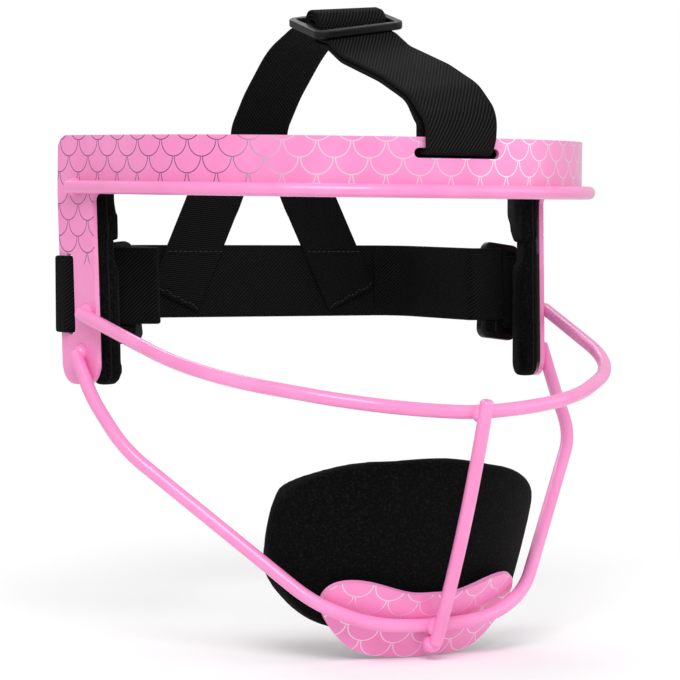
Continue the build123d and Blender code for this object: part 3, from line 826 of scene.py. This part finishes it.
def woven(name, slant, pitch, rib_highlight, grain=yarn_grain):
    """Black elastic: slanted ribs with a fine yarn along them, and smooth woven edges, with painted highlights on the
    ribs and painted shade between them.
    """
    material, tree, inputs = finish_named(
        name, webbing_dark, webbing_roughness, Specular_IOR_Level=webbing_gloss
    )
    lay = tree.node("ShaderNodeUVMap", {"uv_map": "UVMap"})
    along, aside = [tree.node("ShaderNodeSeparateXYZ", {}, {0: lay}, output=axis) for axis in "XY"]
    turn = along * (math.sin(slant) / pitch) + aside * (math.cos(slant) / pitch)
    turn = turn + mottle(tree, *wander_cloud) * rib_wander
    rib = abs(turn.maths("SINE", turn * math.pi))
    step = aside * (math.sin(slant) / yarn_pitch) - along * (math.cos(slant) / yarn_pitch)
    yarn = abs(step.maths("SINE", step * math.pi))
    weave = rib * (yarn * grain + (1 - grain))
    selvedge = strap_width / 2 - selvedge_width
    edge = fade(abs(aside), selvedge - selvedge_blend, selvedge)
    weave = weave * (1 - edge) + edge * selvedge_height
    fibres = mottle(tree, *fibre_cloud) * fibre_spread + fibre_dark
    # Colour follows the weave's height: painted highlight on the raised yarn and painted shade in the grooves. The
    # fibre noise is the yarn's own tone.
    tree.feed(inputs["Base Color"], blended(fade(weave, *lit_range) * fibres, webbing_dark, rib_highlight))
    raise_surface(tree, inputs, weave, twill_height)
    return material


def dress_strap(strap, material, node):
    """A strap takes its woven finish and stands for its CAD solid."""
    strap.data.materials.append(material)
    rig.slot(strap, "webbing")
    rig.replaces(strap, node)


back_elastic = woven("black_elastic_back", back_slant, back_twill, webbing_rib_highlight)
leg_elastic = woven("black_elastic_legs", leg_slant, leg_twill, webbing_rib_highlight)
crown_elastic = woven("black_elastic_crown", crown_slant, crown_twill, crown_rib_highlight, crown_grain)


# Back strap: elastic that runs from each plate's slot round the back of the head. Its sides
# turn a corner beside the head and stretch when the guard is put on.
plate_tilt = math.radians(3.9)
plate_lean = math.tan(plate_tilt)
plate_front_run = 20.5 * MM
plate_width = 20.0 * MM
sheet = 1.6 * MM
strap_clear = 0.25 * MM
slot_setback = 12.0 * MM
slot_width = 4.4 * MM
slot_middle = -42.9 * MM
slot_from_band = slot_middle + band_height / 2
back_height = -40.0 * MM
back_depth = 41.1 * MM
back_straight_half = 45.3 * MM
back_corner_half = 55.0 * MM
back_corner_radius = 11.0 * MM
side_run_length = 28.0 * MM
side_run_drop = 7.5 * MM
side_bend_radius = 1.8 * MM
glide_setback = 4.0 * MM
glide_length = 18.0 * MM
sides = ((1, "left"), (-1, "right"))

side_start = Vector((
    band_radius * math.sin(flare), band_radius - band_depth - band_radius * math.cos(flare), 0
))
along_plate = Vector((math.cos(flare), math.sin(flare), 0))
off_plate = Vector((math.sin(flare), -math.cos(flare), 0))


def plate_point(run, out):
    """A place seen from above, along the left plate from the band's curve and out from it."""
    return side_start + along_plate * run + off_plate * out


slot_lean = slot_from_band * plate_lean
slot_place = plate_front_run + slot_setback + slot_width / 2 + slot_lean
slot_centre = plate_point(slot_place, -sheet / 2)
side_corner = Vector((slot_centre.x - side_run_length, slot_centre.y - side_run_drop, 0))
side_way = Vector((side_run_length, side_run_drop, 0)).normalized()
glide_x = slot_centre.x - glide_setback - glide_length / 2
glide_spot = side_corner + side_way * ((glide_x - side_corner.x) / side_way.x)
lean_way = Vector((0, plate_lean, 1)).normalized()


def mirror_points(points, side):
    """Points on the wearer's left as they are, or mirrored to the right for side -1."""
    return [Vector((point.x * side, point.y, point.z)) for point in points]


def at_height(points, height):
    """Places seen from above, put at a height."""
    return [Vector((point.x, point.y, height)) for point in points]


middle_ends = [Vector((x, back_depth, back_height)) for x in (-back_straight_half, back_straight_half)]
back_middle = webbing("back_strap_middle_web", evenly(middle_ends, point_spacing), lean_way)
dress_strap(back_middle, back_elastic, "back_strap_middle")
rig.ride(back_middle, "rear_strap")
side_corners = [
    Vector((back_straight_half, back_depth, 0)), Vector((back_corner_half, back_depth, 0)),
    side_corner, glide_spot,
]
side_line = rounded_line(at_height(side_corners, back_height), [back_corner_radius, side_bend_radius])
for side, word in sides:
    line = mirror_points(side_line, side)[::side]
    length = sum((after - before).length for before, after in zip(line, line[1:]))
    weave_start = 2 * back_straight_half if side > 0 else -length
    strap = webbing(f"back_strap_side_{word}_web", line, lean_way, start=weave_start)
    dress_strap(strap, back_elastic, f"back_strap_side_{word}")
    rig.blend(
        strap, "guard", "rear_strap",
        start=(side * side_corner.x, side_corner.y + 6 * MM, back_height),
        end=(side * side_corner.x, back_depth - 6 * MM, back_height),
    )


# Anchor loops: the ends of the back strap, passed out through each plate's slot, round its rear
# rib and back to the tri-glide.
loop_stand = strap_thickness / 2 + strap_clear
loop_tail = 1.6 * MM
loop_radius = 1.05 * MM
rear_place = plate_front_run + plate_width + slot_lean
loop_crossing = (sheet / 2 + loop_stand) / side_way.dot(off_plate)
loop_corners = [
    glide_spot,
    slot_centre + side_way * loop_crossing,
    plate_point(rear_place + loop_stand, loop_stand),
    plate_point(rear_place + loop_stand, -sheet - loop_stand),
    plate_point(rear_place - loop_tail, -sheet - loop_stand),
]
loop_line = rounded_line(at_height(loop_corners, slot_middle), [loop_radius] * 3)
for side, word in sides:
    loop = webbing(f"anchor_loop_{word}_web", mirror_points(loop_line, side)[::side], lean_way)
    dress_strap(loop, back_elastic, f"anchor_loop_{word}")
    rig.ride(loop, "guard")


# V legs: two straps sewn to the inside of the back strap, which rise to the back of the head
# and leave a gap for a ponytail.
leg_width = 20.4 * MM
leg_lean = math.radians(24.9)
leg_foot = Vector((35.2, 0, -46.3)) * MM
leg_knee_height = -10.7 * MM
leg_bend_radius = 40.0 * MM
leg_turn_share = 0.62
leg_join_height = 8.0 * MM
leg_top_half = 5.6 * MM
leg_top_width = 11.2 * MM
leg_rise = Vector((-math.sin(leg_lean), 0, math.cos(leg_lean)))
foot_seam = 1.2 * MM
lap_seam_height = -29.5 * MM
seam_margin = 1.4 * MM
seam_swing = 0.8 * MM
stitch_pitch = 1.9 * MM
stitch_length = 1.5 * MM
stitch_unevenness = 0.12
stitch_seed = 7
zigzag_pitch = 1.14 * MM
thread_radius = 0.17 * MM
thread_colour = (0.024, 0.023, 0.024)
thread_roughness = 0.6
thread_gloss = 0.2

thread = finish_named(
    "black_thread", thread_colour, thread_roughness, Specular_IOR_Level=thread_gloss
)[0]
stitch_group = bpy.data.node_groups.new("stitch_rows", "GeometryNodeTree")
stitch_group.interface.new_socket("Rows", in_out="INPUT", socket_type="NodeSocketGeometry")
stitch_sizes = {
    "Pitch": stitch_pitch,
    "Length": stitch_length,
    "Thread radius": thread_radius,
    "Unevenness": stitch_unevenness,
}
stitch_inputs = {
    name: stitch_group.interface.new_socket(
        name, in_out="INPUT", socket_type="NodeSocketFloat"
    ).identifier
    for name in stitch_sizes
}
stitch_group.interface.new_socket("Stitches", in_out="OUTPUT", socket_type="NodeSocketGeometry")
sewing = Field(stitch_group)
pitch, length, thread_size, unevenness = [
    sewing.node("NodeGroupInput", output=name) for name in stitch_sizes
]
row_mesh = sewing.node("NodeGroupInput", output="Rows")
row = sewing.node("GeometryNodeMeshToCurve", {}, {"Mesh": row_mesh})
spread = sewing.node("GeometryNodeResampleCurve", {"mode": "LENGTH"}, {"Curve": row, "Length": pitch})
bead = sewing.node("GeometryNodeMeshIcoSphere", {}, {"Radius": 1, "Subdivisions": 2})
uneven = sewing.node(
    "FunctionNodeRandomValue", {"data_type": "FLOAT"},
    {2: 1 - unevenness, 3: 1 + unevenness, "Seed": stitch_seed}, output=1,
)
form = sewing.node(
    "ShaderNodeCombineXYZ", {}, {0: length * uneven * 0.5, 1: thread_size, 2: thread_size}
)
aim = sewing.node(
    "FunctionNodeAlignRotationToVector", {"axis": "X"},
    {"Vector": sewing.node("GeometryNodeInputTangent")},
)
beads = sewing.node(
    "GeometryNodeInstanceOnPoints", {},
    {"Points": spread, "Instance": bead, "Rotation": aim, "Scale": form},
)
real = sewing.node("GeometryNodeRealizeInstances", {}, {0: beads})
dyed = sewing.node("GeometryNodeSetMaterial", {}, {"Geometry": real, "Material": thread})
sewing.node("NodeGroupOutput", {}, {"Stitches": dyed})


def zigzag(start, end, swing):
    """A zigzag row of stitches from start to end."""
    count = round((end - start).length / zigzag_pitch)
    ways = (-swing / 2, swing / 2)
    return [start.lerp(end, step / count) + ways[step % 2] for step in range(count + 1)]


def stitched(name, rows, lift):
    """Stitches along rows of points, lifted on to the webbing's face, as one plain mesh."""
    mesh = bpy.data.meshes.new(name)
    points = []
    edges = []
    for row in rows:
        first = len(points)
        points += [point + lift for point in row]
        edges += [(first + step, first + step + 1) for step in range(len(row) - 1)]
    mesh.from_pydata(points, edges, [])
    stitches = object_from(name, mesh)
    sew = stitches.modifiers.new("sew", "NODES")
    sew.node_group = stitch_group
    for label, size in stitch_sizes.items():
        sew[stitch_inputs[label]] = size
    baked(stitches)
    stitches.data.shade_smooth()
    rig.slot(stitches, "webbing")
    return stitches


def leg_depth(height):
    """How far back a leg lies, just in front of the leaning back strap."""
    return back_depth - strap_thickness / math.cos(plate_tilt) + (height - back_height) * plate_lean


def leg_point(x, height):
    """A point on the legs' middle layer."""
    return Vector((x, leg_depth(height), height))


def ramp(value, start, end):
    """0 up to start, 1 from end on and straight between them."""
    return max(0, min(1, (value - start) / (end - start)))


def eased(value, start, end):
    """0 up to start, 1 from end on and smooth between them."""
    share = ramp(value, start, end)
    return share * share * (3 - 2 * share)


leg_square = Vector((math.cos(leg_lean), 0, math.sin(leg_lean)))


def leg_across(share, point):
    """Square to the leg from its foot up, and level where the two legs meet."""
    way = leg_square.lerp(Vector((1, 0, 0)), ramp(share, leg_turn_share, 1))
    return Vector((way.x, 0, math.copysign(way.z, point.x)))


def leg_wide(share, point):
    """A leg narrows towards its top."""
    return leg_width + (leg_top_width - leg_width) * eased(share, leg_turn_share, 1)


knee = leg_foot + leg_rise * ((leg_knee_height - leg_foot.z) / leg_rise.z)
foot = leg_point(leg_foot.x, leg_foot.z)
leg_line = rounded_line(
    [foot, leg_point(knee.x, knee.z), leg_point(leg_top_half, leg_join_height)], [leg_bend_radius]
)
seat = foot + leg_rise * foot_seam
half = leg_square * (leg_width / 2 - seam_margin)
foot_row = zigzag(seat - half, seat + half, leg_rise * seam_swing)
seat = foot + leg_rise * ((lap_seam_height - leg_foot.z) / leg_rise.z)
half = Vector((leg_width / 2 / math.cos(leg_lean) - seam_margin, 0, 0))
lap_row = evenly([seat - half, seat + half], stitch_pitch / 4)
leg_rows = []
for side, word in sides:
    leg = webbing(f"v_leg_{word}_web", mirror_points(leg_line, side), leg_across, leg_wide)
    dress_strap(leg, leg_elastic, f"v_leg_{word}")
    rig.ride(leg, "rear_strap")
    leg_rows += [mirror_points(foot_row, side), mirror_points(lap_row, side)]
stitches = stitched("v_leg_stitches", leg_rows, Vector((0, -strap_thickness / 2, 0)))
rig.ride(stitches, "rear_strap")


# Crown straps: elastic over the top of the head. The front one is doubled through the slot in
# the band and rises to the tri-glide, and the rear one runs on down and is sewn over the V's top.
crown_slope = math.radians(14.0)
crown_corner_height = 24.7 * MM
crown_slot_height = 4.6 * MM
crown_fold_radius = 1.7 * MM
crown_fold_rise = 2.55 * MM
crown_rise = [Vector((0, *place)) * MM for place in (
    (-96.0, 15.8), (-84.5, 24.7), (-66.0, 31.5), (-40.0, 38.4), (-30.0, 43.3), (-14.0, 46.6),
)]
crown_rise_radii = [radius * MM for radius in (9.0, 25.0, 60.0, 20.0, 16.0)]
crown_glide_depth = -19.0 * MM
crown_end_depth = -14.0 * MM
parting_heights = (12.0 * MM, 27.0 * MM)
loop_slack = 1.2 * MM
crown_top_depth = -3.5 * MM
crown_top_lift = 1.6 * MM
crown_rear_bends = ((17.0 * MM, 39.9 * MM), (34.2 * MM, 25.4 * MM))
crown_foot_height = 13.5 * MM
crown_lap = Vector((0, 1.55, 0)) * MM
crown_seams = (6.0 * MM, 2.6 * MM)
crown_seam_half = 8.5 * MM
crown_rear_width = 22.5 * MM
crown_taper_share = 0.2
crown_rear_radii = [radius * MM for radius in (14.0, 40.0, 50.0, 9.0)]
crown_twist = math.radians(8.5)
twist_heights = (3.0 * MM, 20.0 * MM)
untwist_depths = (-8.0 * MM, 22.0 * MM)
slot_pinch = 0.8 * MM
pinch_height = 10.0 * MM
strap_step = strap_thickness + strap_clear
strap_pass = strap_thickness / 2 + strap_clear
band_sag = band_radius - math.sqrt(band_radius ** 2 - (strap_width / 2) ** 2)
outer_depth = -band_depth - strap_pass
inner_depth = -band_depth + sheet + band_sag + strap_pass


def crown_point(depth):
    """A point on the crown strap's straight rise."""
    return Vector((0, depth, crown_corner_height + (depth + band_depth) * math.tan(crown_slope)))


def twisted(share, point):
    """The strap's width is level at the slot and at the back, and its left edge is raised on top."""
    turn = crown_twist * eased(point.z, *twist_heights) * (1 - eased(point.y, *untwist_depths))
    return Vector((math.cos(turn), -math.sin(turn) / 2, math.sin(turn)))


def gathered(share, point):
    """How much narrower the strap is where it folds through the slot."""
    return slot_pinch * (1 - eased(point.z, crown_slot_height, pinch_height))


def pinched(share, point):
    """The front strap's width."""
    return strap_width - gathered(share, point)


def pinch_shift(share, point):
    """Only the left edge draws in."""
    return -gathered(share, point) / 2


loop_depth = inner_depth + loop_slack


def inner_gap(height):
    """The two layers lie close on the rise and part round the edge of the band."""
    parting = loop_depth - outer_depth - strap_step
    return strap_step + parting * (1 - eased(height, *parting_heights))


outer_line = rounded_line(
    [Vector((0, outer_depth, crown_slot_height)), *crown_rise], crown_rise_radii
)
inner_line = []
for before, point, after in zip(outer_line, outer_line[1:], outer_line[2:]):
    below = (after - before).cross(Vector((1, 0, 0))).normalized()
    inner_line.append(point + below * inner_gap(point.z))
fold_top = crown_slot_height + crown_fold_rise
fold_line = rounded_line([
    Vector((0, loop_depth, fold_top)), Vector((0, loop_depth, crown_slot_height)),
    Vector((0, outer_depth, crown_slot_height)), Vector((0, outer_depth, fold_top)),
], [crown_fold_radius] * 2)
inner_rise = [point for point in inner_line if point.z > fold_top and point.y < crown_glide_depth]
outer_rise = [point for point in outer_line if point.z > fold_top]
front_line = evenly([*reversed(inner_rise), *fold_line, *outer_rise], point_spacing)
front_strap = webbing("crown_strap_front_web", front_line, twisted, pinched, shift=pinch_shift)
dress_strap(front_strap, crown_elastic, "crown_strap_front")
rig.ride(front_strap, "guard")


def lifted(point):
    """The strap lies a little high where it comes out of the glide's raised frame."""
    return point + Vector((0, 0, crown_top_lift * (1 - eased(point.y, *untwist_depths))))


rear_corners = [
    crown_point(crown_end_depth),
    crown_point(crown_top_depth),
    *[Vector((0, *bend)) for bend in crown_rear_bends],
    leg_point(0, crown_foot_height) + crown_lap,
    leg_point(0, crown_seams[1] - seam_margin) + crown_lap,
]
rear_line = [lifted(point) for point in rounded_line(rear_corners, crown_rear_radii)]


def narrowed(share, point):
    """From the glide on, the rear strap is a little narrower than the front one."""
    return strap_width - (strap_width - crown_rear_width) * eased(share, 0, crown_taper_share)


rear_strap = webbing("crown_strap_rear_web", rear_line, twisted, narrowed)
dress_strap(rear_strap, back_elastic, "crown_strap_rear")
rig.blend(
    rear_strap, "guard", "rear_strap",
    start=(0, crown_top_depth + 6 * MM, crown_corner_height),
    end=(0, back_depth - 2 * MM, crown_corner_height),
)
crown_rows = []
for height in crown_seams:
    seat = leg_point(0, height) + crown_lap
    half = Vector((crown_seam_half, 0, 0))
    crown_rows.append(zigzag(seat - half, seat + half, Vector((0, 0, seam_swing))))
crown_stitches = stitched("crown_strap_stitches", crown_rows, Vector((0, strap_thickness / 2, 0)))
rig.ride(crown_stitches, "rear_strap")


# Tri-glides: moulded frames of dark plastic with a centre bar. The webbing is folded over the
# bar and rolled on itself, and each glide slides along its strap to set the size.
moulding_colour = (0.004, 0.004, 0.0045)
moulding_roughness = 0.42
moulding_gloss = 0.3
moulding_cloud = (300, 2)
moulding_spread = 0.2
moulding_grain = (900, 1)
grain_height = 0.03 * MM
glide_bevel = 0.45 * MM
glide_bevel_steps = 2
glide_crease = math.radians(40)
glide_thickness = 2.6 * MM
bar_width = 3.6 * MM
roll_layers = 3
crown_layer = 1.1 * MM
roll_turn = math.radians(4.5)
roll_bend_share = 0.72
side_tilt = math.radians(5.5)
side_roll_width = 28.6 * MM

moulding, tree, inputs = finish_named(
    "black_moulding", moulding_colour, moulding_roughness, Specular_IOR_Level=moulding_gloss
)
gloss = (mottle(tree, *moulding_cloud) - 0.5) * moulding_spread + moulding_roughness
tree.feed(inputs["Roughness"], gloss)
raise_surface(tree, inputs, mottle(tree, *moulding_grain), grain_height)


def soften(name):
    """Eased edges on a moulded CAD node, as a bevel over its merged corners."""
    node = nodes[name]
    node.modifiers.new("merge", "WELD").merge_threshold = MM / 1000
    ease = node.modifiers.new("ease", "BEVEL")
    ease.width = glide_bevel
    ease.segments = glide_bevel_steps
    ease.limit_method = "ANGLE"
    ease.angle_limit = glide_crease


for name in ("crown_glide", "side_glide_left", "side_glide_right"):
    coat_node(name, moulding)
    soften(name)


def rolled_webbing(name, node, body, normal, across, material, width, thickness):
    """Webbing folded over a tri-glide's bar, layer on layer, in the middle of the glide's box."""
    low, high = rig.box(node.replace("roll", "glide"))
    seat = (low + high) / 2 - normal * (glide_thickness / 2)
    forward = normal.cross(across)
    pieces = []
    for layer in range(roll_layers):
        out = strap_clear + thickness * (layer + 0.5)
        half = bar_width / 2 + out
        top = glide_thickness + out
        corners = [
            seat - forward * half, seat - forward * half + normal * top,
            seat + forward * half + normal * top, seat + forward * half,
        ]
        line = rounded_line(corners, [half * roll_bend_share] * 2)
        pieces.append(webbing(name, line, across, width, thickness))
    whole = bmesh.new()
    for piece in pieces:
        whole.from_mesh(piece.data)
    mesh = bpy.data.meshes.new(name)
    whole.to_mesh(mesh)
    whole.free()
    for piece in pieces:
        bpy.data.objects.remove(piece)
    roll = object_from(name, mesh)
    dress_strap(roll, material, node)
    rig.ride(roll, body)


crown_up = Vector((0, -math.sin(crown_slope), math.cos(crown_slope)))
crown_across = Vector((math.cos(roll_turn), 0, 0)) + crown_up * math.sin(roll_turn)
crown_normal = crown_up * math.cos(roll_turn) - Vector((math.sin(roll_turn), 0, 0))
rolled_webbing(
    "crown_roll_web", "crown_roll", "crown_adjuster", crown_normal, crown_across, crown_elastic,
    strap_width, crown_layer,
)
side_across = (lean_way * math.cos(side_tilt) + side_way * math.sin(side_tilt)).normalized()
side_normal = lean_way.cross(side_way).normalized()
for side, word in sides:
    normal, across = mirror_points([side_normal, side_across], side)
    rolled_webbing(
        f"side_roll_{word}_web", f"side_roll_{word}", f"side_adjuster_{word}", normal, across,
        back_elastic, side_roll_width, strap_thickness,
    )

with open("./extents.json", "w") as size_file:
    json.dump({
        "cad": [list(corner) for corner in cad_box],
        "visual": [list(corner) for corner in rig.bounds()],
    }, size_file)
